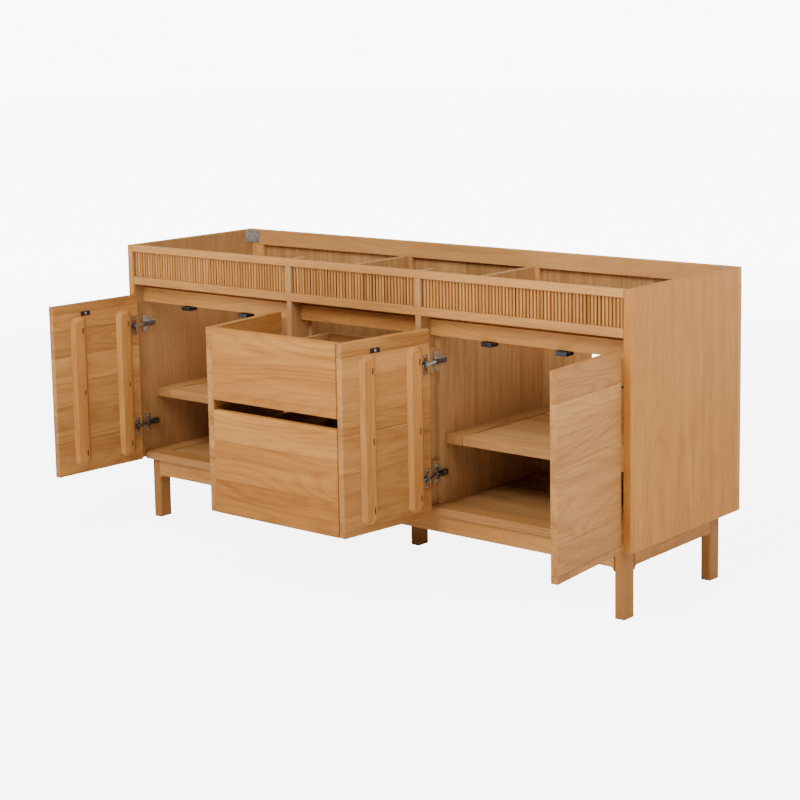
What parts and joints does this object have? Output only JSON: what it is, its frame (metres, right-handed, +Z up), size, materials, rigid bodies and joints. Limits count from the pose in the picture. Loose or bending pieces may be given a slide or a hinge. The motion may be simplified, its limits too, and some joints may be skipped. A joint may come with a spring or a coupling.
{
  "type": "bathroom vanity cabinet",
  "caption": "Wide wooden vanity base with hinged doors on each side of stacked drawers, a fluted fascia, an open top for basins, and short legs under a filleted apron.",
  "frame": {"origin": "on the floor, at the centre of the centre foot's sole", "axes": "+X along the cabinet's width to the right as seen from the front, +Y from the doors to the wall, +Z up"},
  "size_m": [1.833, 0.871, 0.858],
  "materials": {
    "wood_side": "oiled satin, upright grain",
    "wood_frame": "oiled satin",
    "wood_front": "oiled satin, level grain",
    "wood_inside": "oiled satin",
    "wood_flute": "oiled satin, upright grain",
    "nickel": "satin nickel plate",
    "zinc_steel": "bright zinc plate",
    "dark_steel": "dark satin"
  },
  "bodies": {
    "cabinet": {"side_panel_left": "wood_side", "side_panel_right": "wood_side", "top_rail": "wood_frame", "mid_rail": "wood_frame", "finger_rail_left": "wood_frame", "finger_rail_centre": "wood_frame", "finger_rail_right": "wood_frame", "leg_front_left": "wood_frame", "leg_front_right": "wood_frame", "leg_back_left": "wood_frame", "leg_back_right": "wood_frame", "leg_centre": "wood_frame", "apron_front": "wood_frame", "apron_back": "wood_frame", "apron_left": "wood_frame", "apron_right": "wood_frame", "fluted_panel_left": "wood_flute", "fluted_panel_centre": "wood_flute", "fluted_panel_right": "wood_flute", "partition_left": "wood_inside", "partition_right": "wood_inside", "bottom_panel": "wood_inside", "shelf_left": "wood_inside", "shelf_right": "wood_inside", "back_frame": "wood_inside", "back_sheet": "wood_inside", "corner_bracket_left": "zinc_steel", "corner_bracket_right": "zinc_steel", "magnetic_catch_left_outer": "dark_steel", "magnetic_catch_left_inner": "dark_steel", "magnetic_catch_right_inner": "dark_steel", "magnetic_catch_right_outer": "dark_steel", "drawer_runner_upper_left": "zinc_steel", "drawer_runner_upper_right": "zinc_steel", "drawer_runner_lower_left": "zinc_steel", "drawer_runner_lower_right": "zinc_steel"},
    "door_left_outer_body": {"door_left_outer": "wood_front", "batten_left_outer_hinge": "wood_inside", "batten_left_outer_free": "wood_inside", "hinge_cup_left_outer_upper": "nickel", "hinge_cup_left_outer_lower": "nickel"},
    "door_left_inner_body": {"door_left_inner": "wood_front", "batten_left_inner_hinge": "wood_inside", "batten_left_inner_free": "wood_inside", "hinge_cup_left_inner_upper": "nickel", "hinge_cup_left_inner_lower": "nickel"},
    "door_right_inner_body": {"door_right_inner": "wood_front", "batten_right_inner_hinge": "wood_inside", "batten_right_inner_free": "wood_inside", "hinge_cup_right_inner_upper": "nickel", "hinge_cup_right_inner_lower": "nickel"},
    "door_right_outer_body": {"door_right_outer": "wood_front", "batten_right_outer_hinge": "wood_inside", "batten_right_outer_free": "wood_inside", "hinge_cup_right_outer_upper": "nickel", "hinge_cup_right_outer_lower": "nickel"},
    "drawer_upper_body": {"drawer_front_upper": "wood_front", "drawer_box_upper": "wood_inside"},
    "drawer_lower_body": {"drawer_front_lower": "wood_front", "drawer_box_lower": "wood_inside"}
  },
  "joints": [
    {"name": "door_left_outer_swing", "type": "hinge", "parent": "cabinet", "child": "door_left_outer_body", "pos_m": [-0.8925, -0.284, 0.448], "axis": [0, 0, -1], "range_deg": [-93.3, 3.2]},
    {"name": "door_left_inner_swing", "type": "hinge", "parent": "cabinet", "child": "door_left_inner_body", "pos_m": [-0.2535, -0.291, 0.448], "axis": [0, 0, 1], "range_deg": [-96.5, 0]},
    {"name": "door_right_inner_swing", "type": "hinge", "parent": "cabinet", "child": "door_right_inner_body", "pos_m": [0.2535, -0.291, 0.448], "axis": [0, 0, -1], "range_deg": [-96.5, 0]},
    {"name": "door_right_outer_swing", "type": "hinge", "parent": "cabinet", "child": "door_right_outer_body", "pos_m": [0.8925, -0.284, 0.448], "axis": [0, 0, 1], "range_deg": [-95, 1.5]},
    {"name": "drawer_upper_slide", "type": "slide", "parent": "cabinet", "child": "drawer_upper_body", "axis": [0, -1, 0], "range_m": [-0.325, 0.075]},
    {"name": "drawer_lower_slide", "type": "slide", "parent": "cabinet", "child": "drawer_lower_body", "axis": [0, -1, 0], "range_m": [-0.325, 0.075]}
  ]
}
